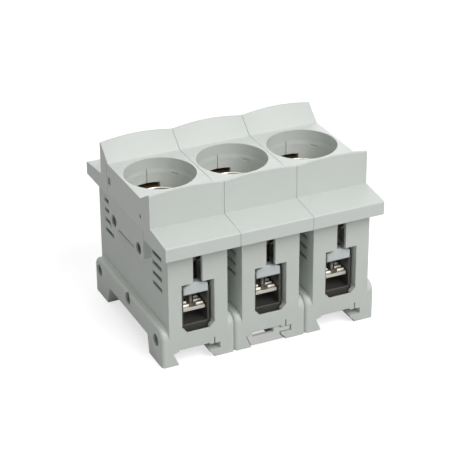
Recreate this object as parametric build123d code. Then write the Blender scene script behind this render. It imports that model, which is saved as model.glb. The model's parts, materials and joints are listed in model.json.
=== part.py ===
from build123d import *
import os

os.makedirs("parts", exist_ok=True)

# Three-pole rail-mounted fuse base for screw-in cartridge fuses. Sizes in millimetres.
# X runs along the rail, -Y is the front that shows the terminals, Z = 0 is the underside of the feet.
# Each pole is drawn about its own centre line, then moved to its place along the rail.

# Poles
pole_count = 3
pole_pitch = 27.0
latch_pole = 2
cover_seam = 0.12
housing_seam = 0.1

# Rail and feet
rail_width = 35.0
rail_lip = 1.0
rail_play = 0.1
seat_height = 7.0
lead_in_front = 1.5
lead_in_rear = 2.5
hook_reach = 1.6
hook_gap = 0.2
hook_slope = 2.4
hook_toe = 0.4

# Housing
body_width = 21.6
body_front = 30.5
body_rear = 31.0
body_top = 45.8
flange_front = 30.5
flange_rear = 31.5
flange_top = 14.2
flange_nose_radius = 4.0
flange_edge_radius = 1.2
wall = 2.0
pad_front = 16.6
pad_rear = 14.9
pad_drop = 10.5

# Joining holes and pins, on both sides of every pole
pin_hole_radius = 2.25
pin_play = 0.1
pin_hole_depth = 4.2
pin_end_play = 0.2
boss_radius = 4.0
boss_front_y = 11.9
boss_rear_y = 10.4
boss_drop = 8.5
foot_hole_front_y = 24.9
foot_hole_front_z = 8.5
foot_hole_mid_z = 11.7
foot_hole_rear_y = 27.1
foot_hole_rear_z = 9.5

# Fuse well
shell_radius = 8.7
shell_wall = 0.6
shell_play = 0.3
shell_rise = 2.0
shell_length = 16.8
shell_flange_radius = 10.6
shell_flange_thickness = 0.8
shell_flange_play = 0.3
thread_pitch = 3.0
thread_depth = 0.5
thread_start = 1.0
thread_end = 0.5
barrel_radius = 8.3
floor_thickness = 2.0

# Terminals
window_wall = 4.2
window_lip = 2.0
web_wall = 1.4
recess_half = 5.4
window_corner = 1.7
pocket_half = 8.8
pocket_back = 14.0
pocket_floor = 9.5
window_width = 11.9
window_bottom = 12.2
window_top = 30.3
slot_width = 3.4
slot_bottom = 30.0
bridge_top = 37.0
bridge_thickness = 2.5
vent_length = 7.9
vent_height = 1.2
vent_pitch = 3.95
vent_count = 4
vent_lowest = 26.8
vent_start = 17.5

# Contact strips
strip_width = 8.0
strip_thickness = 1.2
tab_underside = 18.0
tab_reach = 27.0
strip_play = 0.3
contact_radius = 6.0
contact_height = 2.8
contact_rim = 1.5
contact_dish = 1.0
contact_chamfer = 0.5

# Clamp, saddle and screw
cage_depth = 9.2
cage_setback = 2.5
cage_half = 5.2
cage_side = 0.8
cage_play = 0.3
cage_floor = 2.7
cage_roof = 2.0
wire_space = 4.4
screw_gap_above_tab = 5.5
saddle_width = 9.0
saddle_height = 2.8
saddle_crown = 1.3
saddle_overhang = 0.8
saddle_lip = 1.5
saddle_hole_play = 0.3
screw_radius = 2.5
screw_play = 0.06
screw_head_radius = 4.2
screw_head_height = 3.0
screw_head_round = 0.5
screw_slot_width = 1.2
screw_slot_depth = 1.6

# Cover
cover_thickness = 1.5
valley_rise = 11.6
valley_front = 15.0
valley_rear = 14.2
nose_front = 22.7
nose_rear = 21.3
crest_rise_front = 4.1
crest_rise_rear = 5.5
crest_arch_front = 1.0
crest_arch_rear = 1.25
crest_land = 0.8
crest_depth = 2.6
shoulder_rise = 4.0
ledge_reach = 35.5
ledge_rise_front = 3.6
ledge_rise_rear = 5.1
ledge_fall = 1.4
lip_drop_front = 2.8
lip_drop_rear = 1.1
collar_radius = 12.5
collar_depth = 4.1
collar_taper = 0.2
collar_taper_length = 1.45
collar_groove = 0.4
collar_notch_turn = 47.0
collar_notch_width = 2.5
collar_notch_height = 1.0
skirt_pad_gap = 0.3
side_notch_front = 12.2
side_notch_rear = 14.6
side_notch_rise = 4.0
side_notch_height = 2.8
side_hole_y = 14.4
side_hole_rise = 4.7
side_hole_radius = 0.8
side_line_y = 15.3
side_line_width = 0.3
side_line_margin = 0.4
edge_radius = 0.5
port_half = 4.6
port_rise = 2.4
leg_length = 6.0
leg_width = 6.0
leg_thickness = 1.0
leg_play = 0.3

# Latch
channel_left = 7.5
channel_right = 4.1
channel_top = 5.8
channel_sill = 0.5
channel_flare_left = 1.7
channel_flare_low = 4.4
channel_flare_high = 4.7
channel_step = 0.3
channel_step_z = 5.3
channel_flare_right = 1.8
channel_bevel_z = 2.3
channel_play = 0.3
groove_reach = 3.9
groove_low = 2.9
groove_high = 5.2
foot_slit_x = 5.7
foot_slit_top = 7.6
foot_slit_width = 0.4
foot_slit_depth = 2.0
latch_tongue = 1.6
latch_front_play = 0.5
latch_loop_left = 6.7
latch_loop_right = 1.4
latch_bar_top = 3.6
latch_bar_thickness = 1.4
latch_rear_bar = 1.9

cover_half = (pole_pitch - cover_seam) / 2
housing_half = (pole_pitch - housing_seam) / 2
body_half = body_width / 2
slot_front = rail_width / 2 + rail_play / 2
slot_rear = rail_width / 2 + rail_play / 2
well_radius = shell_radius + shell_wall + shell_play
well_floor = seat_height + floor_thickness
screw_y = body_front - cage_setback - cage_depth / 2
rear_shift = body_rear - body_front
tab_top = tab_underside + strip_thickness
boss_height = body_top - boss_drop
pad_bottom = body_top - pad_drop
shell_top = body_top + shell_rise
port_top = body_top + port_rise
valley_height = body_top + valley_rise
crest_front = valley_height + crest_rise_front
crest_rear = valley_height + crest_rise_rear
ledge_front_wall_z = body_top + ledge_rise_front
ledge_front_edge_z = ledge_front_wall_z - ledge_fall
ledge_rear_wall_z = body_top + ledge_rise_rear
ledge_rear_edge_z = ledge_rear_wall_z - ledge_fall
lip_front_bottom = body_top - lip_drop_front
lip_rear_bottom = body_top - lip_drop_rear
leg_y = body_front - window_wall - leg_play - leg_width / 2
cage_bottom = tab_underside - wire_space - cage_floor
cage_roof_bottom = tab_top + screw_gap_above_tab
cage_top = cage_roof_bottom + cage_roof


def block(x0, x1, y0, y1, z0, z1):
    """Box from its low and high corners."""
    return Pos((x0 + x1) / 2, (y0 + y1) / 2, (z0 + z1) / 2) * Box(x1 - x0, y1 - y0, z1 - z0)


def side_prism(points, x0, x1):
    """Outline given as (y, z) points, extruded along X."""
    outline = Plane.YZ.offset(x0) * make_face(Polyline(*points, close=True))
    return extrude(outline, x1 - x0)


def front_prism(points, y0, y1):
    """Outline given as (x, z) points, extruded along Y."""
    front_plane = Plane(origin=(0, y0, 0), x_dir=(1, 0, 0), z_dir=(0, -1, 0))
    return extrude(front_plane * make_face(Polyline(*points, close=True)), y0 - y1)


def post(radius, x, y, z0, z1):
    """Upright cylinder."""
    return Pos(x, y, (z0 + z1) / 2) * Cylinder(radius, z1 - z0)


def cross_rod(radius, y, z, x0, x1):
    """Cylinder along X."""
    return Pos((x0 + x1) / 2, y, z) * Rot(0, 90, 0) * Cylinder(radius, x1 - x0)


def pin_places():
    """(y, z) of the joining holes: two in the upper bosses and three in the foot flange."""
    return [
        (-boss_front_y, boss_height),
        (boss_rear_y, boss_height),
        (-foot_hole_front_y, foot_hole_front_z),
        (0.0, foot_hole_mid_z),
        (foot_hole_rear_y, foot_hole_rear_z),
    ]


def foot_flange():
    """Full-pitch foot block with rounded top corners at both ends and softened long edges."""
    flange = block(-housing_half, housing_half, -flange_front, flange_rear, 0, flange_top)
    ends = flange.edges().filter_by(Axis.X).group_by(Axis.Z)[-1]
    flange = fillet(ends, flange_nose_radius)
    sides = flange.faces().sort_by(Axis.Z)[-1].edges().filter_by(Axis.Y)
    return fillet(sides, flange_edge_radius)


def raised_pad(side):
    """Full-width area beside the fuse well, ending below in two round bosses."""
    outer = side * housing_half
    inner = side * (body_half - 1)
    low = min(outer, inner)
    high = max(outer, inner)
    pad = block(low, high, -pad_front, pad_rear, pad_bottom, body_top)
    for y in (-boss_front_y, boss_rear_y):
        pad += cross_rod(boss_radius, y, boss_height, low, high)
    return pad


def window_opening():
    """Terminal window with cut lower corners and a sill that slopes down inward to a thin lip."""
    half = window_width / 2
    wall_y = -(body_front - window_wall)
    lip_y = -(body_front - window_lip)
    opening = front_prism(
        [
            (-half, window_bottom + window_corner),
            (-half + window_corner, window_bottom),
            (half - window_corner, window_bottom),
            (half, window_bottom + window_corner),
            (half, window_top),
            (-half, window_top),
        ],
        -body_front - 1,
        wall_y + 0.5,
    )
    sill = side_prism(
        [(-body_front, window_bottom), (lip_y, pocket_floor), (lip_y, window_bottom)],
        -half + window_corner,
        half - window_corner,
    )
    return opening + sill


def terminal_pocket():
    """Front terminal space: clamp room, forked bridge under the screw, driver well, window, slot, vents."""
    front = -(body_front - window_wall)
    web = -(body_front - web_wall)
    bridge_low = bridge_top - bridge_thickness
    room = block(-pocket_half, pocket_half, front, -pocket_back, pocket_floor, bridge_low)
    bay_half = cage_half + cage_play
    bay = block(-bay_half, bay_half, -(body_front - window_lip), front + 1, pocket_floor, window_top)
    driver_well = block(-pocket_half, pocket_half, front, -pocket_back, bridge_top, body_top + 1)
    recess = block(-recess_half, recess_half, web, front + 1, window_top, body_top + 1)
    hole_radius = screw_radius + screw_play
    shank_hole = post(hole_radius, 0, -screw_y, pocket_floor, body_top)
    fork = block(-hole_radius, hole_radius, front, -screw_y, bridge_low, bridge_top)
    slot = block(-slot_width / 2, slot_width / 2, -body_front - 1, front, slot_bottom, body_top + 1)
    pocket = room + bay + driver_well + recess + shank_hole + fork + slot + window_opening()
    outside = body_half + 1
    for row in range(vent_count):
        low = vent_lowest + row * vent_pitch - vent_height / 2
        pocket += block(-outside, outside, -vent_start - vent_length, -vent_start, low, low + vent_height)
    return pocket


def rear_terminal_pocket():
    """The front pocket turned round, moved back by the deeper rear wall."""
    return Pos(0, rear_shift, 0) * Rot(0, 0, 180) * terminal_pocket()


def rail_notch():
    """Space for the rail, with flared sides below."""
    return side_prism(
        [
            (-slot_front, seat_height),
            (-slot_front - lead_in_front, -1),
            (slot_rear + lead_in_rear, -1),
            (slot_rear, seat_height),
        ],
        -pole_pitch,
        pole_pitch,
    )


def rear_hook():
    """Fixed hook under the rear rail edge, between the flange cheeks."""
    top = seat_height - rail_lip - hook_gap
    return side_prism(
        [
            (slot_rear + lead_in_rear + 1, 0),
            (slot_rear + hook_toe, 0),
            (slot_rear - hook_reach, top - hook_slope),
            (slot_rear - hook_reach, top),
            (slot_rear + lead_in_rear + 1, top),
        ],
        -body_half + wall,
        body_half - wall,
    )


def channel_outline(play):
    """Front view of the latch channel: undercut on the left, bevelled side groove on the right."""
    low = -1 if play == 0 else play
    return [
        (-channel_left + play, low),
        (-channel_left + play, channel_sill),
        (-channel_left - channel_flare_left + play, channel_flare_low),
        (-channel_left - channel_flare_left + play, channel_flare_high),
        (-channel_left + channel_step + play, channel_step_z),
        (-channel_left + channel_step + play, channel_top - play),
        (channel_right - play, channel_top - play),
        (channel_right - play, groove_high - play),
        (channel_right + groove_reach - play, groove_high - play),
        (channel_right + groove_reach - play, groove_low + play),
        (channel_right - play, groove_low + play),
        (channel_right - play, channel_bevel_z),
        (channel_right + channel_flare_right - play, channel_sill),
        (channel_right + channel_flare_right - play, low),
    ]


def housing():
    """Moulded pole housing, drawn about the pole's centre line."""
    body = block(-body_half, body_half, -body_front, body_rear, 0, body_top)
    body += foot_flange()
    for side in (-1, 1):
        body += raised_pad(side)
    body -= rail_notch()
    body += rear_hook()
    channel_back = -slot_front + 1
    body -= front_prism(channel_outline(0), -body_front - 1, channel_back)
    slit = foot_slit_x + foot_slit_width
    slit_back = -body_front + foot_slit_depth
    body -= block(foot_slit_x, slit, -body_front - 1, slit_back, groove_high - 0.5, foot_slit_top)
    body -= post(well_radius, 0, 0, shell_top - shell_length - shell_play, body_top + 1)
    body -= post(barrel_radius, 0, 0, well_floor, body_top)
    body -= terminal_pocket()
    body -= rear_terminal_pocket()
    half = strip_width / 2 + strip_play
    strip_bay = strip_thickness + 2 * strip_play
    strip_clear_top = well_floor + strip_thickness + strip_play
    body -= block(-half, half, -pocket_back - strip_bay, 0, well_floor, strip_clear_top)
    rear_wall_y = pocket_back + rear_shift
    body -= block(-half, half, rear_wall_y, rear_wall_y + strip_bay, tab_underside, body_top + 1)
    for y, z in pin_places():
        for side in (-1, 1):
            deep = side * (housing_half - pin_hole_depth)
            outside = side * pole_pitch
            body -= cross_rod(pin_hole_radius, y, z, min(deep, outside), max(deep, outside))
    return body


def arched_section(y, edge_z, arch, base_z):
    """Upright section across the pole with an arched top."""
    low_left = (-cover_half, y, base_z)
    high_left = (-cover_half, y, edge_z)
    high_right = (cover_half, y, edge_z)
    low_right = (cover_half, y, base_z)
    arc = ThreePointArc(high_left, (0, y, edge_z + arch), high_right)
    sides = Polyline(high_right, low_right, low_left, high_left)
    return make_face([arc] + sides.edges())


def cover_ramp(wall_y, foot_y, crest, arch, base_z):
    """Sloping shoulder: a short arched land at the outer wall, ruled down to the flat valley."""
    inward = 1 if foot_y > wall_y else -1
    land_y = wall_y + inward * crest_land
    outer = arched_section(wall_y, crest, arch, base_z)
    crest_face = arched_section(land_y, crest, arch, base_z)
    foot_face = arched_section(foot_y, valley_height, 0.02, base_z)
    land = loft([outer, crest_face], ruled=True)
    slope = loft([crest_face, foot_face], ruled=True)
    return land + slope


def ledge(sign, wall_y, wall_z, edge_z, lip_z):
    """Sloping ledge with a rounded outer edge and a hanging lip, open below."""
    outer = sign * ledge_reach
    inner = sign * (ledge_reach - cover_thickness)
    shelf = side_prism(
        [
            (sign * (wall_y - cover_thickness), wall_z),
            (sign * wall_y, wall_z),
            (outer, edge_z),
            (outer, lip_z),
            (inner, lip_z),
            (inner, edge_z - cover_thickness),
            (sign * (wall_y - cover_thickness), wall_z - cover_thickness),
        ],
        -cover_half,
        cover_half,
    )
    rows = shelf.edges().filter_by(Axis.X).group_by(Axis.Y)
    outer_row = rows[0] if sign < 0 else rows[-1]
    shelf = fillet(outer_row.sort_by(Axis.Z)[-1], edge_radius)
    rows = shelf.edges().filter_by(Axis.X).group_by(Axis.Y)
    outer_row = rows[0] if sign < 0 else rows[-1]
    return fillet(outer_row.sort_by(Axis.Z)[0], edge_radius / 2)


def side_skirt(side):
    """Side wall under ledges and nose walls, stepped over the housing's raised pads."""
    pad_y0 = -(pad_front + skirt_pad_gap)
    pad_y1 = pad_rear + skirt_pad_gap
    trim = edge_radius
    outer = side * cover_half
    inner = side * (cover_half - cover_thickness)
    return side_prism(
        [
            (-ledge_reach + trim, lip_front_bottom),
            (-ledge_reach + trim, ledge_front_edge_z - trim),
            (-nose_front, ledge_front_wall_z - trim),
            (-nose_front, body_top + shoulder_rise),
            (nose_rear, body_top + shoulder_rise),
            (nose_rear, ledge_rear_wall_z - trim),
            (ledge_reach - trim, ledge_rear_edge_z - trim),
            (ledge_reach - trim, lip_rear_bottom),
            (pad_y1, lip_rear_bottom),
            (pad_y1, body_top),
            (pad_y0, body_top),
            (pad_y0, lip_front_bottom),
        ],
        min(outer, inner),
        max(outer, inner),
    )


def side_marks(side):
    """Small window, hole and upright line in the cover's side wall."""
    outside = side * (cover_half + 1)
    inside = side * (cover_half - cover_thickness - 0.5)
    low = min(outside, inside)
    high = max(outside, inside)
    notch_low = body_top + side_notch_rise
    notch_high = notch_low + side_notch_height
    marks = block(low, high, side_notch_front, side_notch_rear, notch_low, notch_high)
    marks += cross_rod(side_hole_radius, -side_hole_y, body_top + side_hole_rise, low, high)
    line = side * (cover_half - side_line_width)
    line_low = min(outside, line)
    line_high = max(outside, line)
    bottom = body_top + side_line_margin
    top = valley_height - side_line_margin
    marks += block(line_low, line_high, side_line_y, side_line_y + side_line_width, bottom, top)
    return marks


def cover():
    """Moulded cover of one pole: arched shoulders, flat valley with the round mouth, ledges and lips."""
    mid = body_top + shoulder_rise
    shell = block(-cover_half, cover_half, -valley_front, valley_rear, body_top, valley_height)
    shell += block(-cover_half, cover_half, -nose_front, nose_rear, body_top, mid)
    shell += cover_ramp(-nose_front, -valley_front, crest_front, crest_arch_front, mid)
    shell += cover_ramp(nose_rear, valley_rear, crest_rear, crest_arch_rear, mid)
    tops = shell.edges().filter_by(lambda edge: edge.center().Z > crest_front)
    crests = tops.filter_by(lambda edge: edge.bounding_box().size.X > body_half)
    shell = fillet(crests, edge_radius)
    inner = cover_half - cover_thickness
    shell -= side_prism(
        [
            (-nose_front + cover_thickness, body_top - 1),
            (-nose_front + cover_thickness, crest_front - crest_depth),
            (-valley_front, valley_height - cover_thickness),
            (valley_rear, valley_height - cover_thickness),
            (nose_rear - cover_thickness, crest_rear - crest_depth),
            (nose_rear - cover_thickness, body_top - 1),
        ],
        -inner,
        inner,
    )
    shell += ledge(-1, nose_front, ledge_front_wall_z, ledge_front_edge_z, lip_front_bottom)
    shell += ledge(1, nose_rear, ledge_rear_wall_z, ledge_rear_edge_z, lip_rear_bottom)
    tube = post(cover_half, 0, 0, body_top, valley_height - cover_thickness / 2)
    tube -= block(-port_half, port_half, 0, pole_pitch, body_top - 1, port_top)
    shell += tube
    taper_low = valley_height - collar_depth - collar_taper_length
    shell -= post(collar_radius - collar_taper, 0, 0, body_top - 1, valley_height + 1)
    shell -= post(collar_radius, 0, 0, valley_height - collar_depth, valley_height + 1)
    taper = Cone(collar_radius - collar_taper, collar_radius, collar_taper_length)
    shell -= Pos(0, 0, taper_low + collar_taper_length / 2) * taper
    groove = collar_groove / 2
    groove_end = valley_height - collar_depth + collar_taper
    groove_wall = collar_radius + collar_taper
    shell -= block(-groove, groove, collar_radius - 1, groove_wall, port_top - 0.5, groove_end)
    notch_half = collar_notch_width / 2
    notch_top = taper_low + collar_taper
    notch_low = notch_top - collar_notch_height
    notch = block(-notch_half, notch_half, collar_radius - 1, collar_radius + groove, notch_low, notch_top)
    shell -= Rot(0, 0, -collar_notch_turn) * notch
    shell -= block(-port_half, port_half, collar_radius - 1, cover_half + 0.5, body_top - 1, port_top)
    for side in (-1, 1):
        shell += side_skirt(side)
        shell -= side_marks(side)
        outer_face = side * (pocket_half - leg_play)
        inner_face = side * (pocket_half - leg_play - leg_thickness)
        low = min(outer_face, inner_face)
        high = max(outer_face, inner_face)
        for middle, top in ((-leg_y, ledge_front_wall_z), (leg_y + rear_shift, ledge_rear_wall_z)):
            y0 = middle - leg_width / 2
            y1 = middle + leg_width / 2
            shell += block(low, high, y0, y1, body_top - leg_length, top - cover_thickness)
    flange_room_top = body_top + shell_flange_thickness + shell_flange_play
    return shell - post(shell_flange_radius + shell_flange_play, 0, 0, body_top - 1, flange_room_top)


def thread_shell():
    """Plated metal shell with rolled ring threads, open at both ends, held by a flange on the housing."""
    bottom = shell_top - shell_length
    turns = int((body_top - bottom - thread_start - thread_end) / thread_pitch)
    inner = []
    outer = []
    z = bottom + thread_start
    inner.append((shell_radius, bottom))
    outer.append((shell_radius + shell_wall, bottom))
    for turn in range(turns):
        for height, swing in ((0.0, 0.0), (0.5, thread_depth)):
            inner.append((shell_radius - swing, z + height * thread_pitch))
            outer.append((shell_radius + shell_wall - swing, z + height * thread_pitch))
        z += thread_pitch
    inner.append((shell_radius, z))
    outer.append((shell_radius + shell_wall, z))
    outline = inner + [(shell_radius, shell_top), (shell_radius + shell_wall, shell_top)]
    outline += [
        (shell_radius + shell_wall, body_top + shell_flange_thickness),
        (shell_flange_radius, body_top + shell_flange_thickness),
        (shell_flange_radius, body_top),
        (shell_radius + shell_wall, body_top),
    ]
    outline += list(reversed(outer))
    face = make_face(Polyline(*[(r, 0, h) for r, h in outline], close=True))
    return revolve(face, Axis.Z)


def shell_strip():
    """Folded strip from the shell flange over the housing and down to the rear terminal."""
    rise = pocket_back + rear_shift + strip_play
    outer = rise + strip_thickness
    tab_end = tab_reach + rear_shift
    strip = side_prism(
        [
            (shell_flange_radius, body_top),
            (shell_flange_radius, body_top + strip_thickness),
            (outer, body_top + strip_thickness),
            (outer, tab_top),
            (tab_end, tab_top),
            (tab_end, tab_underside),
            (rise, tab_underside),
            (rise, body_top),
        ],
        -strip_width / 2,
        strip_width / 2,
    )
    return strip


def foot_strip():
    """Folded strip from under the fuse foot to the front terminal."""
    rise = pocket_back + strip_play
    outer = rise + strip_thickness
    low = well_floor
    return side_prism(
        [
            (contact_radius - 1, low),
            (contact_radius - 1, low + strip_thickness),
            (-rise, low + strip_thickness),
            (-rise, tab_top),
            (-tab_reach, tab_top),
            (-tab_reach, tab_underside),
            (-outer, tab_underside),
            (-outer, low),
        ],
        -strip_width / 2,
        strip_width / 2,
    )


def foot_contact():
    """Round foot contact with a dished seat for the gauge ring."""
    low = well_floor + strip_thickness
    contact = post(contact_radius, 0, 0, low, low + contact_height)
    top = low + contact_height
    contact -= post(contact_radius - contact_rim, 0, 0, top - contact_dish, top + 1)
    return chamfer(contact.edges().group_by(Axis.Z)[-1].sort_by(SortBy.LENGTH)[-1], contact_chamfer)


def clamp_cage():
    """Box clamp round the front tab, with the screw's threaded roof."""
    y0 = -screw_y - cage_depth / 2
    y1 = -screw_y + cage_depth / 2
    cage = block(-cage_half, cage_half, y0, y1, cage_bottom, cage_top)
    cage = fillet(cage.edges().filter_by(Axis.Y), 1.0)
    inside = cage_half - cage_side
    cage -= block(-inside, inside, y0 - 1, y1 + 1, cage_bottom + cage_floor, cage_roof_bottom)
    cage -= post(screw_radius + screw_play, 0, -screw_y, cage_roof_bottom - 1, cage_top + 1)
    return cage


def saddle_profile(y0, y1, low):
    """Slice of the saddle across the pole, with its crowned top."""
    half = saddle_width / 2
    top = cage_top + saddle_height
    edge_z = top - saddle_crown
    arc = ThreePointArc((-half, y0, edge_z), (0, y0, top), (half, y0, edge_z))
    sides = Polyline((half, y0, edge_z), (half, y0, low), (-half, y0, low), (-half, y0, edge_z))
    return extrude(make_face([arc] + sides.edges()), y1 - y0, dir=(0, 1, 0))


def clamp_saddle():
    """Pale moulded saddle on top of the clamp: crowned top, lip over the clamp's roof, screw hole."""
    cage_front = -screw_y - cage_depth / 2
    saddle = saddle_profile(cage_front, -screw_y + cage_depth / 2, cage_top)
    saddle += saddle_profile(cage_front - saddle_overhang, cage_front, cage_top - saddle_lip)
    rim = saddle.faces().sort_by(Axis.Y)[0].edges()
    saddle = fillet(rim, saddle_overhang / 2)
    top = cage_top + saddle_height
    return saddle - post(screw_radius + saddle_hole_play, 0, -screw_y, cage_top - 1, top + 1)


def clamp_screw():
    """Cheese-head clamp screw that bears on the tab and hangs by its head on the bridge."""
    head_top = bridge_top + screw_head_height
    screw = post(screw_radius, 0, -screw_y, tab_top, bridge_top)
    head = post(screw_head_radius, 0, -screw_y, bridge_top, head_top)
    head = fillet(head.edges().group_by(Axis.Z)[-1], screw_head_round)
    for angle in (0, 90):
        cut = Rot(0, 0, angle) * block(
            -screw_head_radius * 0.72,
            screw_head_radius * 0.72,
            -screw_slot_width / 2,
            screw_slot_width / 2,
            head_top - screw_slot_depth,
            head_top + 1,
        )
        head -= Pos(0, -screw_y, 0) * cut
    return screw + head


def rear(part):
    """A front terminal piece turned round for the rear terminal."""
    return Pos(0, rear_shift, 0) * Rot(0, 0, 180) * part


def rail_latch():
    """Sprung loop in the front foot: front bar, two side rails, rear bar with the rail tongue."""
    front = -body_front + latch_front_play
    back = -slot_front + latch_tongue
    latch = front_prism(channel_outline(channel_play), front, -slot_front)
    latch -= block(
        -latch_loop_left,
        latch_loop_right,
        front + latch_bar_thickness,
        -slot_front - latch_rear_bar,
        -1,
        seat_height,
    )
    bar_back = front + latch_bar_thickness + 1
    latch -= block(-latch_loop_left, latch_loop_right, front - 1, bar_back, latch_bar_top, seat_height)
    left = -channel_left + channel_step + channel_play
    right = channel_right - channel_play
    top = min(seat_height - rail_lip - 2 * hook_gap, channel_top - channel_play)
    return latch + side_prism(
        [
            (-slot_front - 1, channel_play),
            (-slot_front - hook_toe, channel_play),
            (back, top - hook_slope),
            (back, top),
            (-slot_front - 1, top),
        ],
        left,
        right,
    )


def joining_pins():
    """Dowels across the seam between two neighbouring poles."""
    reach = pin_hole_depth - pin_end_play
    pins = Part()
    for y, z in pin_places():
        pins += cross_rod(pin_hole_radius - pin_play, y, z, -reach, reach)
    return pins


def save(shape, name):
    export_step(shape, f"parts/{name}.step")


first_pole_x = -pole_pitch * (pole_count - 1) / 2
pole_parts = {
    "housing": housing(),
    "cover": cover(),
    "thread_shell": thread_shell(),
    "shell_strip": shell_strip(),
    "foot_strip": foot_strip(),
    "foot_contact": foot_contact(),
    "clamp_cage_front": clamp_cage(),
    "clamp_cage_rear": rear(clamp_cage()),
    "clamp_saddle_front": clamp_saddle(),
    "clamp_saddle_rear": rear(clamp_saddle()),
    "clamp_screw_front": clamp_screw(),
    "clamp_screw_rear": rear(clamp_screw()),
}
for number in range(pole_count):
    place = Pos(first_pole_x + number * pole_pitch, 0, 0)
    for part_name, part in pole_parts.items():
        save(place * part, f"{part_name}_{number + 1}")
    if number + 1 < pole_count:
        seam_place = Pos(first_pole_x + (number + 0.5) * pole_pitch, 0, 0)
        save(seam_place * joining_pins(), f"joining_pins_{number + 1}_{number + 2}")
save(Pos(first_pole_x + (latch_pole - 1) * pole_pitch, 0, 0) * rail_latch(), "rail_latch")
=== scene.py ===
import json
import math

import bpy
from mathutils import Matrix, Vector


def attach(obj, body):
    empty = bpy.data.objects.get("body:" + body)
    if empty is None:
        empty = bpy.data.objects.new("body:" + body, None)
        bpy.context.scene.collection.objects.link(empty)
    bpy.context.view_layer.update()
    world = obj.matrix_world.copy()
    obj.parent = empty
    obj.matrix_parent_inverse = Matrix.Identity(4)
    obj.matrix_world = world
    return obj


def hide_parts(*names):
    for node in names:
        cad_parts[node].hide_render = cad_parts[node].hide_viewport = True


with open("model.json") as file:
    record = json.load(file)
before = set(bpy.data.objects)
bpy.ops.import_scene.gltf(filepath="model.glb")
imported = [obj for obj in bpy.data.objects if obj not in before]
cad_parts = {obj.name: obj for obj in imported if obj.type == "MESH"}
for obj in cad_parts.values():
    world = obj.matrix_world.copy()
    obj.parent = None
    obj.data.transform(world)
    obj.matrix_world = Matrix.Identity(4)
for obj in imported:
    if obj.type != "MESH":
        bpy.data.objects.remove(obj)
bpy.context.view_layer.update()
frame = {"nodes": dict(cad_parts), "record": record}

# Three-pole fuse base for a mounting rail, in metres. The photograph shows it from the front left and above.

MM = 0.001

# Sizes in mm that the new pieces take from the solids. The rear terminals are the front ones turned round and
# moved back a little.
POLE_X = (-27.0, 0.0, 27.0)
SCREW_Y = {"front": -23.4, "rear": 23.9}
REAR_SHIFT = 0.5
TAB_TOP = 19.2

# Clamp screw, M5 by 0.8: its head stands on the housing's bridge.
BRIDGE_TOP = 37.0
SCREW_TOP = 40.0
HEAD_RADIUS = 4.2
SHANK_RADIUS = 2.5
THREAD_BOTTOM_RADIUS = 2.05
SCREW_PITCH = 0.8

# Drawn shell: the flange sits on the housing, a short collar stands above it.
SHELL_INNER = 8.75
SHELL_OUTER = 9.3
SHELL_FLANGE = 10.6
SHELL_LOW = 31.0
FLANGE_LOW = 45.8
FLANGE_TOP = 46.6
SHELL_TOP = 47.8
CAP_THREAD_PITCH = 3.0

# Side faces of the two end poles, measured from the pole's middle: foot and bosses, and the narrower body.
HOUSING_HALF = 13.45
BODY_HALF = 10.8
# The joining holes open behind a thin rim into these hollows, as (y, z, radius). The middle one lies a little
# under its hole, to stay inside the foot.
HOLE_RIM = 0.7
HOLLOW_DEPTH = 3.7
HOLLOWS = (
    (-11.9, 37.3, 3.6),
    (10.4, 37.3, 3.6),
    (-24.9, 8.5, 3.0),
    (0.0, 10.9, 2.9),
    (27.1, 9.5, 3.0),
)
# A fine groove runs between the two upper holes.
GROOVE_MIDDLE_Y = -0.7
GROOVE_Z = 35.75
GROOVE_LENGTH = 14.2
GROOVE_HEIGHT = 0.7
GROOVE_DEPTH = 1.4
# Four vents at each end of a side face, in a wall of 2 mm that is thinned behind them.
VENT_ROWS = 4
VENT_MIDDLE_Y = 21.45
VENT_LOWEST_Z = 26.8
VENT_PITCH = 3.95
VENT_LENGTH = 7.9
VENT_HEIGHT = 1.6
VENT_RIM = 0.6
THINNED_HEIGHT = 3.2
WALL_CUT = 2.1
OVERSHOOT = 0.5
# Ridges on a front tab: front edges of the three rows, distance from the screw's middle, size of one ridge.
RIDGE_ROWS_Y = (-25.65, -23.5, -21.35)
RIDGE_X = 2.65
RIDGE_LENGTH = 2.7
RIDGE_FOOT = 1.1
RIDGE_HEIGHT = 0.5

# The photograph's camera, found from the object's own edges.
PHOTO_AZIMUTH = -25.085
PHOTO_ELEVATION = 27.603
PHOTO_ROLL = -0.277
PHOTO_DISTANCE = 607.7 * MM
PHOTO_TARGET = Vector((0.965, 0.0, 27.338)) * MM
FOCAL_PIXELS = 1720.97
FRAME_PIXELS = 470
SENSOR_WIDTH = 36.0


def linear(hex_colour):
    """Turns an sRGB hex colour, such as "d8dad6", into linear RGBA."""
    channels = [int(hex_colour[i : i + 2], 16) / 255 for i in (0, 2, 4)]
    return [c / 12.92 if c <= 0.04045 else ((c + 0.055) / 1.055) ** 2.4 for c in channels] + [1.0]


def add_node(tree, kind, settings=None, values=None, links=None):
    """Adds a node with its settings, the values of its input sockets and the links into them."""
    new = tree.nodes.new(kind)
    for name, value in (settings or {}).items():
        setattr(new, name, value)
    for name, value in (values or {}).items():
        new.inputs[name].default_value = value
    for name, output in (links or {}).items():
        tree.links.new(output, new.inputs[name])
    return new


def new_material(name):
    """An empty node material and its tree."""
    material = bpy.data.materials.new(name)
    material.use_nodes = True
    material.node_tree.nodes.clear()
    return material, material.node_tree


def soft_edges(tree, radius_mm):
    """Normals that run round every sharp edge, as the small radii of a mould or a press tool do."""
    return add_node(tree, "ShaderNodeBevel", {"samples": 6}, {"Radius": radius_mm * MM}).outputs["Normal"]


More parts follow.
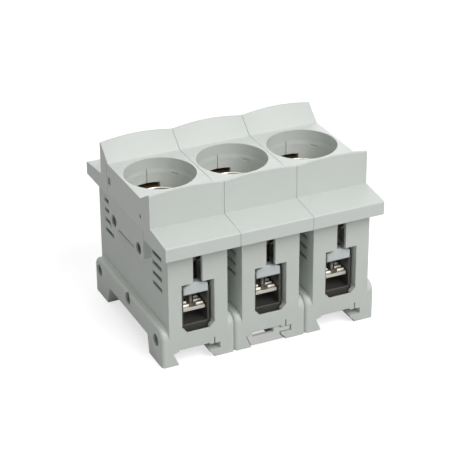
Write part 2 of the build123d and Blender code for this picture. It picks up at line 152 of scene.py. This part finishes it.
def moulded(name, colour, shade, grain_mm, grain_depth_mm, roughness, edge_mm=0.3):
    """Injection moulded plastic: faintly cloudy pigment and the fine spark-eroded skin of the mould."""
    material, tree = new_material(name)
    place = add_node(tree, "ShaderNodeTexCoord").outputs["Object"]
    cloud = add_node(
        tree,
        "ShaderNodeTexNoise",
        values={"Scale": 1 / (9 * MM), "Detail": 3.0, "Roughness": 0.55},
        links={"Vector": place},
    )
    tint = add_node(tree, "ShaderNodeMix", {"data_type": "RGBA"}, links={"Factor": cloud.outputs["Fac"]})
    tint.inputs["A"].default_value = linear(colour)
    tint.inputs["B"].default_value = linear(shade)
    grain = add_node(
        tree,
        "ShaderNodeTexNoise",
        values={"Scale": 1 / (grain_mm * MM), "Detail": 2.0, "Roughness": 0.6},
        links={"Vector": place},
    )
    rough = add_node(
        tree,
        "ShaderNodeMapRange",
        values={"To Min": roughness - 0.05, "To Max": roughness + 0.06},
        links={"Value": grain.outputs["Fac"]},
    )
    bump = add_node(
        tree,
        "ShaderNodeBump",
        values={"Strength": 0.5, "Distance": grain_depth_mm * MM},
        links={"Height": grain.outputs["Fac"], "Normal": soft_edges(tree, edge_mm)},
    )
    skin = add_node(
        tree,
        "ShaderNodeBsdfPrincipled",
        values={"IOR": 1.5},
        links={
            "Base Color": tint.outputs["Result"],
            "Roughness": rough.outputs["Result"],
            "Normal": bump.outputs["Normal"],
        },
    )
    add_node(tree, "ShaderNodeOutputMaterial", links={"Surface": skin.outputs["BSDF"]})
    return material


def plated(name, colour, shade, grain_mm, stretch, roughness, edge_mm=0.12, metallic=1.0, dip=None):
    """Plated or rolled metal: fine drawn lines along one axis and a slightly uneven tarnish.

    With dip, a height in mm and a colour, the plating ends there and the metal above it is bare.
    """
    material, tree = new_material(name)
    place = add_node(tree, "ShaderNodeTexCoord").outputs["Object"]
    lines = add_node(tree, "ShaderNodeMapping", values={"Scale": stretch}, links={"Vector": place})
    drawn = add_node(
        tree,
        "ShaderNodeTexNoise",
        values={"Scale": 1 / (grain_mm * MM), "Detail": 2.0},
        links={"Vector": lines.outputs["Vector"]},
    )
    cloud = add_node(
        tree,
        "ShaderNodeTexNoise",
        values={"Scale": 1 / (4 * MM), "Detail": 3.0},
        links={"Vector": place},
    )
    tint = add_node(tree, "ShaderNodeMix", {"data_type": "RGBA"}, links={"Factor": cloud.outputs["Fac"]})
    tint.inputs["A"].default_value = linear(colour)
    tint.inputs["B"].default_value = linear(shade)
    rough = add_node(
        tree,
        "ShaderNodeMapRange",
        values={"To Min": roughness - 0.06, "To Max": roughness + 0.08},
        links={"Value": drawn.outputs["Fac"]},
    )
    bump = add_node(
        tree,
        "ShaderNodeBump",
        values={"Strength": 0.3, "Distance": 0.01 * MM},
        links={"Height": drawn.outputs["Fac"], "Normal": soft_edges(tree, edge_mm)},
    )
    skin_colour = tint.outputs["Result"]
    if dip:
        dip_height, bare = dip
        height = add_node(tree, "ShaderNodeSeparateXYZ", links={"Vector": place}).outputs["Z"]
        edge = {"From Min": dip_height * MM, "From Max": (dip_height + 0.6) * MM}
        above = add_node(tree, "ShaderNodeMapRange", values=edge, links={"Value": height}).outputs["Result"]
        both = add_node(tree, "ShaderNodeMix", {"data_type": "RGBA"}, links={"Factor": above})
        both.inputs["B"].default_value = linear(bare)
        tree.links.new(skin_colour, both.inputs["A"])
        skin_colour = both.outputs["Result"]
    metal = add_node(
        tree,
        "ShaderNodeBsdfPrincipled",
        values={"Metallic": metallic},
        links={
            "Base Color": skin_colour,
            "Roughness": rough.outputs["Result"],
            "Normal": bump.outputs["Normal"],
        },
    )
    add_node(tree, "ShaderNodeOutputMaterial", links={"Surface": metal.outputs["BSDF"]})
    return material


# Mould grain and drawn lines are a few tenths of a millimetre wide here. The real ones are finer and wouldn't
# show in a picture of the whole object.

# Glass-filled polyamide, moulded: even pale grey with a dry, slightly rough skin.
housing_polyamide = moulded("housing_polyamide_moulded", "dadfda", "d3d8d2", 0.35, 0.012, 0.46)
# Cover plastic, moulded in a smoother tool: a shade lighter, with a soft sheen on the shoulders.
cover_abs = moulded("cover_abs_moulded", "dee3df", "d8ddd8", 0.45, 0.008, 0.38, edge_mm=0.15)
# Smooth moulded saddles: pale blue grey, a little glossier than the housing.
saddle_polyamide = moulded("saddle_polyamide_moulded", "d8e0df", "d1d9d8", 0.5, 0.004, 0.3, edge_mm=0.8)
# Latch and pins, moulded from the same polyamide in a smaller tool: a touch paler than the housing.
latch_polyamide = moulded("latch_polyamide_moulded", "e3e5e2", "dcdedb", 0.35, 0.01, 0.42)
# Nickel-plated drawn shell: warm silver, fine rings from the drawing tool.
shell_nickel = plated("shell_nickel_plated", "e4e0d8", "d6d1c8", 0.3, (1.0, 1.0, 6.0), 0.22)
# Copper strip, rolled lengthwise: its lower end dipped in tin and bright, the rest bare and dulled to brown.
strip_tinned = plated(
    "strip_copper_dip_tinned", "f4f1e8", "eae6da", 0.3, (6.0, 1.0, 1.0), 0.46, dip=(23.0, "8c745e")
)
# Turned brass foot contact: yellow metal with fine turning rings.
contact_brass = plated("contact_turned_brass", "d9b877", "c9a561", 0.25, (1.0, 1.0, 1.0), 0.3)
# Folded steel of the clamps, coloured nearly black as painted shade for the dark inside of the terminals,
# with a dull sheen along its bends, and only half metallic, so half of the metal's gleam is gone.
clamp_painted_dark_shade = plated(
    "clamp_steel_painted_dark_shade", "6a6965", "595855", 0.3, (1.0, 1.0, 4.0), 0.4, edge_mm=0.35, metallic=0.5
)
# Cold-headed screw, zinc plated steel coloured dark grey as painted shade for the dim slot and window it sits
# in, with a soft gleam on the thread crests.
screw_painted_dark_shade = plated("screw_zinc_plated_steel_painted_dark_shade", "6f6c66", "5f5c57", 0.25, (1.0, 1.0, 5.0), 0.34)

FINISH_OF_SLOT = {
    "housing_moulding": housing_polyamide,
    "cover_moulding": cover_abs,
    "plated_shell": shell_nickel,
    "contact_strip": strip_tinned,
    "foot_contact": contact_brass,
    "clamp_steel": clamp_painted_dark_shade,
    "saddle_moulding": saddle_polyamide,
    "screw_steel": screw_painted_dark_shade,
    "pin_moulding": latch_polyamide,
    "latch_moulding": latch_polyamide,
}
for entry in frame["record"]["subparts"]:
    for material_slot in frame["nodes"][entry["node"]].material_slots:
        material_slot.material = FINISH_OF_SLOT[entry["material_slot"]]


def deselect_all():
    for other in bpy.context.selected_objects:
        other.select_set(False)


def edit_all(piece):
    """Opens the piece alone in edit mode with everything selected."""
    deselect_all()
    bpy.context.view_layer.objects.active = piece
    piece.select_set(True)
    bpy.ops.object.mode_set(mode="EDIT")
    bpy.ops.mesh.select_all(action="SELECT")


def close_edit():
    bpy.ops.object.mode_set(mode="OBJECT")


def settle(piece):
    """Puts the piece's place and turn into its mesh, with its origin at the frame's."""
    deselect_all()
    bpy.context.view_layer.objects.active = piece
    piece.select_set(True)
    bpy.ops.object.transform_apply(location=True, rotation=True, scale=True)


def smooth(piece, degrees=35):
    """Smooth shading except over edges sharper than the stated angle."""
    deselect_all()
    bpy.context.view_layer.objects.active = piece
    piece.select_set(True)
    bpy.ops.object.shade_smooth_by_angle(angle=math.radians(degrees))


def turned(name, profile, segments=72):
    """A closed ring or a solid of revolution about Z, drawn out loop by loop from (radius, height) in mm."""
    deselect_all()
    first_radius, first_height = profile[0]
    place = (0, 0, first_height * MM)
    bpy.ops.mesh.primitive_circle_add(vertices=segments, radius=first_radius * MM, location=place)
    piece = bpy.context.object
    piece.name = name
    settle(piece)
    edit_all(piece)
    radius, height = first_radius, first_height
    for next_radius, next_height in profile[1:]:
        rise = (0, 0, (next_height - height) * MM)
        bpy.ops.mesh.extrude_region_move(TRANSFORM_OT_translate={"value": rise})
        grow = next_radius / radius
        bpy.ops.transform.resize(value=(grow, grow, 1), center_override=(0, 0, next_height * MM))
        radius, height = next_radius, next_height
    bpy.ops.mesh.select_all(action="SELECT")
    bpy.ops.mesh.remove_doubles(threshold=0.001 * MM)
    bpy.ops.mesh.select_all(action="DESELECT")
    bpy.ops.mesh.select_non_manifold()
    bpy.ops.mesh.fill_holes(sides=0)
    bpy.ops.mesh.select_all(action="SELECT")
    bpy.ops.mesh.normals_make_consistent(inside=False)
    close_edit()
    return piece


def thread_ridge(name, crest, root, width, crest_width, pitch, start, turns, corners=4, steps=36):
    """One helical ridge about Z: a small closed section swept round and up, both ends capped."""
    deselect_all()
    middle = (crest + root) / 2
    reach = abs(crest - root)
    bpy.ops.mesh.primitive_circle_add(vertices=corners, radius=MM / 2, rotation=(math.pi / 2, 0, 0))
    ridge = bpy.context.object
    ridge.name = name
    settle(ridge)
    edit_all(ridge)
    if corners == 4:
        turn = {"value": math.pi / 4, "orient_axis": "Y", "center_override": (0, 0, 0)}
        bpy.ops.transform.rotate(**turn)
        diagonal = math.sqrt(2)
        bpy.ops.transform.resize(value=(reach * diagonal, 1, width * diagonal), center_override=(0, 0, 0))
    else:
        bpy.ops.transform.resize(value=(reach, 1, width), center_override=(0, 0, 0))
    bpy.ops.mesh.select_all(action="DESELECT")
    close_edit()
    outward = 1 if crest > root else -1
    for vertex in ridge.data.vertices:
        vertex.select = vertex.co.x * outward > 0.01 * MM
    bpy.ops.object.mode_set(mode="EDIT")
    if corners == 4:
        bpy.ops.transform.resize(value=(1, 1, crest_width / width), center_override=(0, 0, 0))
    bpy.ops.mesh.select_all(action="SELECT")
    bpy.ops.transform.translate(value=(middle * MM, 0, start * MM))
    close_edit()
    sweep = ridge.modifiers.new("thread", "SCREW")
    sweep.axis = "Z"
    sweep.angle = 2 * math.pi
    sweep.screw_offset = pitch * MM
    sweep.iterations = turns
    sweep.steps = steps
    sweep.render_steps = steps
    bpy.ops.object.modifier_apply(modifier=sweep.name)
    edit_all(ridge)
    bpy.ops.mesh.select_all(action="DESELECT")
    bpy.ops.mesh.select_non_manifold()
    bpy.ops.mesh.fill_holes(sides=0)
    bpy.ops.mesh.select_all(action="SELECT")
    bpy.ops.mesh.normals_make_consistent(inside=False)
    close_edit()
    return ridge


def joined(name, pieces):
    """Several pieces made one object."""
    deselect_all()
    for piece in pieces:
        piece.select_set(True)
    bpy.context.view_layer.objects.active = pieces[0]
    bpy.ops.object.join()
    pieces[0].name = name
    return pieces[0]


def copy_to(piece, name, x, y, turn=0.0):
    """A copy of the piece with its own mesh, turned about Z and moved along the object."""
    twin = piece.copy()
    twin.data = piece.data.copy()
    twin.name = name
    bpy.context.scene.collection.objects.link(twin)
    twin.location = (x * MM, y * MM, 0)
    twin.rotation_euler = (0, 0, turn)
    settle(twin)
    return twin


def stands_for(piece, node, body, material):
    """Rides the piece on its body in place of the CAD node, in the node's finish."""
    piece.data.materials.clear()
    piece.data.materials.append(material)
    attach(piece, body)
    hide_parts(node)


def cut_with(piece, cutter):
    """Takes the cutter's form out of the piece."""
    cut = piece.modifiers.new("cut", "BOOLEAN")
    cut.operation = "DIFFERENCE"
    cut.object = cutter
    deselect_all()
    bpy.context.view_layer.objects.active = piece
    piece.select_set(True)
    bpy.ops.object.modifier_apply(modifier=cut.name)
    bpy.data.objects.remove(cutter)


def slot_cutter(length, width, depth, top, turn):
    """Long block across the screw's head, tapered towards the bottom of the slot."""
    deselect_all()
    bpy.ops.mesh.primitive_cube_add(size=MM, location=(0, 0, (top - depth / 2 + 0.5) * MM))
    cutter = bpy.context.object
    cutter.scale = (length, width, depth + 1)
    settle(cutter)
    edit_all(cutter)
    bpy.ops.mesh.select_all(action="DESELECT")
    close_edit()
    for vertex in cutter.data.vertices:
        vertex.select = vertex.co.z < (top - depth / 2) * MM
    bpy.ops.object.mode_set(mode="EDIT")
    bpy.ops.transform.resize(value=(0.86, 0.7, 1), center_override=(0, 0, 0))
    close_edit()
    cutter.rotation_euler = (0, 0, math.radians(turn))
    settle(cutter)
    return cutter


def clamp_screw_piece():
    """Cheese-head clamp screw with a cross slot over a straight slot, a rolled M5 thread and a slim tip."""
    head = turned(
        "screw_head",
        [
            (HEAD_RADIUS, BRIDGE_TOP),
            (HEAD_RADIUS, SCREW_TOP - 0.5),
            (HEAD_RADIUS - 0.15, SCREW_TOP - 0.15),
            (HEAD_RADIUS - 0.5, SCREW_TOP),
        ],
    )
    cross_slot = (5.4, 1.15, 1.9)
    straight_slot = (9.6, 0.9, 0.9)
    for turn, (length, width, depth) in ((0, cross_slot), (90, cross_slot), (0, straight_slot)):
        cut_with(head, slot_cutter(length, width, depth, SCREW_TOP, turn))
    shank = turned(
        "screw_shank",
        [
            (1.0, TAB_TOP),
            (1.15, TAB_TOP + 0.2),
            (1.15, 22.3),
            (THREAD_BOTTOM_RADIUS, 22.9),
            (THREAD_BOTTOM_RADIUS, BRIDGE_TOP - 0.8),
            (SHANK_RADIUS, BRIDGE_TOP - 0.5),
            (SHANK_RADIUS, BRIDGE_TOP),
        ],
        48,
    )
    ridge = thread_ridge(
        "screw_thread",
        crest=2.48,
        root=2.0,
        width=0.74,
        crest_width=0.16,
        pitch=SCREW_PITCH,
        start=23.1,
        turns=16,
    )
    screw = joined("clamp_screw", [head, shank, ridge])
    smooth(screw, 40)
    return screw


def thread_shell_piece():
    """Drawn shell with a flange and the round helical thread that takes the cap."""
    wall = turned(
        "shell_wall",
        [
            (SHELL_INNER, SHELL_LOW + 0.3),
            (SHELL_INNER + 0.15, SHELL_LOW),
            (SHELL_OUTER, SHELL_LOW),
            (SHELL_OUTER, FLANGE_LOW - 0.2),
            (SHELL_OUTER + 0.2, FLANGE_LOW),
            (SHELL_FLANGE, FLANGE_LOW),
            (SHELL_FLANGE, FLANGE_TOP),
            (SHELL_OUTER + 0.2, FLANGE_TOP),
            (SHELL_OUTER, FLANGE_TOP + 0.2),
            (SHELL_OUTER, SHELL_TOP - 0.2),
            (SHELL_OUTER - 0.1, SHELL_TOP),
            (SHELL_INNER + 0.2, SHELL_TOP),
            (SHELL_INNER, SHELL_TOP - 0.2),
            (SHELL_INNER, SHELL_LOW + 0.3),
        ],
        96,
    )
    ridge = thread_ridge(
        "shell_thread",
        crest=8.2,
        root=9.1,
        width=1.9,
        crest_width=1.9,
        pitch=CAP_THREAD_PITCH,
        start=33.2,
        turns=4,
        corners=16,
        steps=72,
    )
    shell = joined("thread_shell", [wall, ridge])
    smooth(shell, 40)
    return shell


def hollow_cutter(x, y, z, radius):
    """Round block that lies along X, for the hollow behind a joining hole."""
    deselect_all()
    bpy.ops.mesh.primitive_cylinder_add(
        vertices=48,
        radius=radius * MM,
        depth=HOLLOW_DEPTH * MM,
        rotation=(0, math.pi / 2, 0),
        location=(x * MM, y * MM, z * MM),
    )
    cutter = bpy.context.object
    settle(cutter)
    return cutter


def groove_cutter(x):
    """Fine long block, half outside the face at x, for the line between the two upper holes."""
    deselect_all()
    bpy.ops.mesh.primitive_cube_add(size=MM, location=(x * MM, GROOVE_MIDDLE_Y * MM, GROOVE_Z * MM))
    cutter = bpy.context.object
    cutter.scale = (2 * GROOVE_DEPTH, GROOVE_LENGTH, GROOVE_HEIGHT)
    settle(cutter)
    return cutter


def vent_cutter(face_x, side, inset, height):
    """Eight long blocks, one for each side vent, from the inset behind the face through the wall."""
    blocks = []
    for middle_y in (-VENT_MIDDLE_Y, VENT_MIDDLE_Y + REAR_SHIFT):
        for row in range(VENT_ROWS):
            z = VENT_LOWEST_Z + row * VENT_PITCH
            outer = face_x - side * inset
            inner = face_x - side * WALL_CUT
            deselect_all()
            place = ((outer + inner) / 2 * MM, middle_y * MM, z * MM)
            bpy.ops.mesh.primitive_cube_add(size=MM, location=place)
            blocks.append(bpy.context.object)
            blocks[-1].scale = (abs(outer - inner), VENT_LENGTH, height)
            settle(blocks[-1])
    return joined("vent_cutter", blocks)


def carved_housing(number, side):
    """Housing of an end pole, with hollows behind its outer holes, the groove and taller vents."""
    face_x = POLE_X[number - 1] + side * HOUSING_HALF
    mesh = frame["nodes"][f"housing_{number}"].data.copy()
    piece = bpy.data.objects.new(f"carved_housing_{number}", mesh)
    bpy.context.scene.collection.objects.link(piece)
    edit_all(piece)
    bpy.ops.mesh.customdata_custom_splitnormals_clear()
    bpy.ops.mesh.remove_doubles(threshold=0.001 * MM)
    close_edit()
    hollow_x = face_x - side * (HOLE_RIM + HOLLOW_DEPTH / 2)
    for y, z, radius in HOLLOWS:
        cut_with(piece, hollow_cutter(hollow_x, y, z, radius))
    cut_with(piece, groove_cutter(face_x))
    wall_x = POLE_X[number - 1] + side * BODY_HALF
    cut_with(piece, vent_cutter(wall_x, side, -OVERSHOOT, VENT_HEIGHT))
    cut_with(piece, vent_cutter(wall_x, side, VENT_RIM, THINNED_HEIGHT))
    smooth(piece, 35)
    return piece


def tab_ridge(x, front_y):
    """One low ridge over half of a contact tab: steep in front, sloping off behind."""
    deselect_all()
    place = (x * MM, (front_y + RIDGE_FOOT / 2) * MM, (TAB_TOP + RIDGE_HEIGHT / 2) * MM)
    bpy.ops.mesh.primitive_cube_add(size=MM, location=place)
    ridge = bpy.context.object
    ridge.scale = (RIDGE_LENGTH, RIDGE_FOOT, RIDGE_HEIGHT)
    settle(ridge)
    edit_all(ridge)
    bpy.ops.mesh.select_all(action="DESELECT")
    close_edit()
    for vertex in ridge.data.vertices:
        vertex.select = vertex.co.z > (TAB_TOP + RIDGE_HEIGHT / 2) * MM
    bpy.ops.object.mode_set(mode="EDIT")
    bpy.ops.transform.resize(value=(0.94, 0.25, 1), center_override=place)
    bpy.ops.transform.translate(value=(0, -0.22 * MM, 0))
    close_edit()
    return ridge


def tab_ridges_piece():
    """Three rows of pressed ridges on the front tab, left and right of the screw's tip."""
    ridges = [tab_ridge(x, front_y) for front_y in RIDGE_ROWS_Y for x in (-RIDGE_X, RIDGE_X)]
    return joined("tab_ridges", ridges)


screw_model = clamp_screw_piece()
shell_model = thread_shell_piece()
ridges_model = tab_ridges_piece()
for number, pole_x in enumerate(POLE_X, 1):
    shell_piece = copy_to(shell_model, f"drawn_shell_{number}", pole_x, 0)
    stands_for(shell_piece, f"thread_shell_{number}", "base", shell_nickel)
    for end, screw_y in SCREW_Y.items():
        screw_piece = copy_to(screw_model, f"threaded_screw_{end}_{number}", pole_x, screw_y)
        node_name = f"clamp_screw_{end}_{number}"
        # The screws' dark grey is painted shade.
        stands_for(screw_piece, node_name, node_name, screw_painted_dark_shade)
        turn, shift = (0.0, 0.0) if end == "front" else (math.pi, REAR_SHIFT)
        ridges = copy_to(ridges_model, f"tab_ridges_{end}_{number}", pole_x, shift, turn)
        ridges.data.materials.append(strip_tinned)
        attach(ridges, "base")
for model in (screw_model, shell_model, ridges_model):
    bpy.data.objects.remove(model)
for number, side in ((1, -1), (3, 1)):
    housing_piece = carved_housing(number, side)
    stands_for(housing_piece, f"housing_{number}", "base", housing_polyamide)

deselect_all()

# Studio. The floor is lifted towards white for the camera alone. Near the object its shadow stays, and its
# far end is as white as the world.
AMBIENT = 0.14
FLOOR_LIFT = 0.64
SHADOW_REACH = 0.35
WHITE_REACH = 1.2
bpy.ops.mesh.primitive_plane_add(size=6.0, location=(0, 0, 0))
floor = bpy.context.object
floor.name = "floor"
floor_paper, floor_tree = new_material("floor_paper_matt")
light_path = add_node(floor_tree, "ShaderNodeLightPath").outputs["Is Camera Ray"]
paper = add_node(floor_tree, "ShaderNodeBsdfDiffuse", values={"Color": linear("d8d8d8")})
floor_place = add_node(floor_tree, "ShaderNodeTexCoord").outputs["Object"]
reach = add_node(floor_tree, "ShaderNodeVectorMath", {"operation": "LENGTH"}, links={"Vector": floor_place})
lift_level = add_node(
    floor_tree,
    "ShaderNodeMapRange",
    values={"From Min": SHADOW_REACH, "From Max": WHITE_REACH, "To Min": FLOOR_LIFT, "To Max": 1.0},
    links={"Value": reach.outputs["Value"]},
)
lift = add_node(
    floor_tree,
    "ShaderNodeEmission",
    values={"Color": linear("ffffff")},
    links={"Strength": lift_level.outputs["Result"]},
)
lifted = add_node(floor_tree, "ShaderNodeAddShader")
floor_tree.links.new(paper.outputs["BSDF"], lifted.inputs[0])
floor_tree.links.new(lift.outputs["Emission"], lifted.inputs[1])
shown = add_node(floor_tree, "ShaderNodeMixShader", links={"Fac": light_path})
floor_tree.links.new(paper.outputs["BSDF"], shown.inputs[1])
floor_tree.links.new(lifted.outputs["Shader"], shown.inputs[2])
add_node(floor_tree, "ShaderNodeOutputMaterial", links={"Surface": shown.outputs["Shader"]})
floor.data.materials.append(floor_paper)

world = bpy.data.worlds.new("studio")
bpy.context.scene.world = world
world.use_nodes = True
world.node_tree.nodes.clear()
rays = add_node(world.node_tree, "ShaderNodeLightPath").outputs
seen = rays["Is Camera Ray"]
for kind in ("Is Glossy Ray", "Is Transmission Ray"):
    either = add_node(world.node_tree, "ShaderNodeMath", {"operation": "MAXIMUM"})
    world.node_tree.links.new(seen, either.inputs[0])
    world.node_tree.links.new(rays[kind], either.inputs[1])
    seen = either.outputs["Value"]
brightness = add_node(
    world.node_tree,
    "ShaderNodeMapRange",
    values={"To Min": AMBIENT, "To Max": 1.0},
    links={"Value": seen},
)
sky = add_node(
    world.node_tree,
    "ShaderNodeBackground",
    values={"Color": linear("ffffff")},
    links={"Strength": brightness.outputs["Result"]},
)
add_node(world.node_tree, "ShaderNodeOutputWorld", links={"Surface": sky.outputs["Background"]})


def softbox(name, direction, distance, size, level):
    """Square area lamp. At level 1 a white sheet turned to it shows as white."""
    data = bpy.data.lights.new(name, "AREA")
    data.shape = "SQUARE"
    data.size = size
    data.energy = level * math.pi**2 * distance**2
    lamp = bpy.data.objects.new(name, data)
    bpy.context.scene.collection.objects.link(lamp)
    away = Vector(direction).normalized()
    lamp.location = Vector((0, 0, 30 * MM)) + away * distance
    lamp.rotation_euler = away.to_track_quat("Z", "Y").to_euler()
    return lamp


softbox("key", (0.26, -0.66, 0.70), 1.1, 0.7, 0.60)
softbox("top", (-0.1, 0.25, 1.0), 1.1, 1.0, 0.33)
softbox("left_fill", (-0.8, -0.5, 0.3), 1.1, 0.8, 0.055)
softbox("rear_fill", (0.5, 0.85, 0.24), 1.1, 0.6, 0.18)


def photo_camera():
    """Camera of the photograph: turned about the target, rolled a quarter of a degree."""
    azimuth = math.radians(PHOTO_AZIMUTH)
    elevation = math.radians(PHOTO_ELEVATION)
    roll = math.radians(PHOTO_ROLL)
    level = math.cos(elevation)
    back = Vector((math.sin(azimuth) * level, -math.cos(azimuth) * level, math.sin(elevation)))
    level_right = Vector((math.cos(azimuth), math.sin(azimuth), 0))
    level_up = back.cross(level_right)
    right = level_right * math.cos(roll) + level_up * math.sin(roll)
    up = level_up * math.cos(roll) - level_right * math.sin(roll)
    data = bpy.data.cameras.new("camera")
    data.sensor_width = SENSOR_WIDTH
    data.lens = FOCAL_PIXELS * SENSOR_WIDTH / FRAME_PIXELS
    data.clip_start = 0.01
    data.clip_end = 10.0
    camera = bpy.data.objects.new("camera", data)
    bpy.context.scene.collection.objects.link(camera)
    turn = Matrix((right, up, back)).transposed().to_4x4()
    camera.matrix_world = Matrix.Translation(PHOTO_TARGET + back * PHOTO_DISTANCE) @ turn
    return camera


bpy.context.scene.camera = photo_camera()
bpy.context.scene.view_settings.view_transform = "Standard"
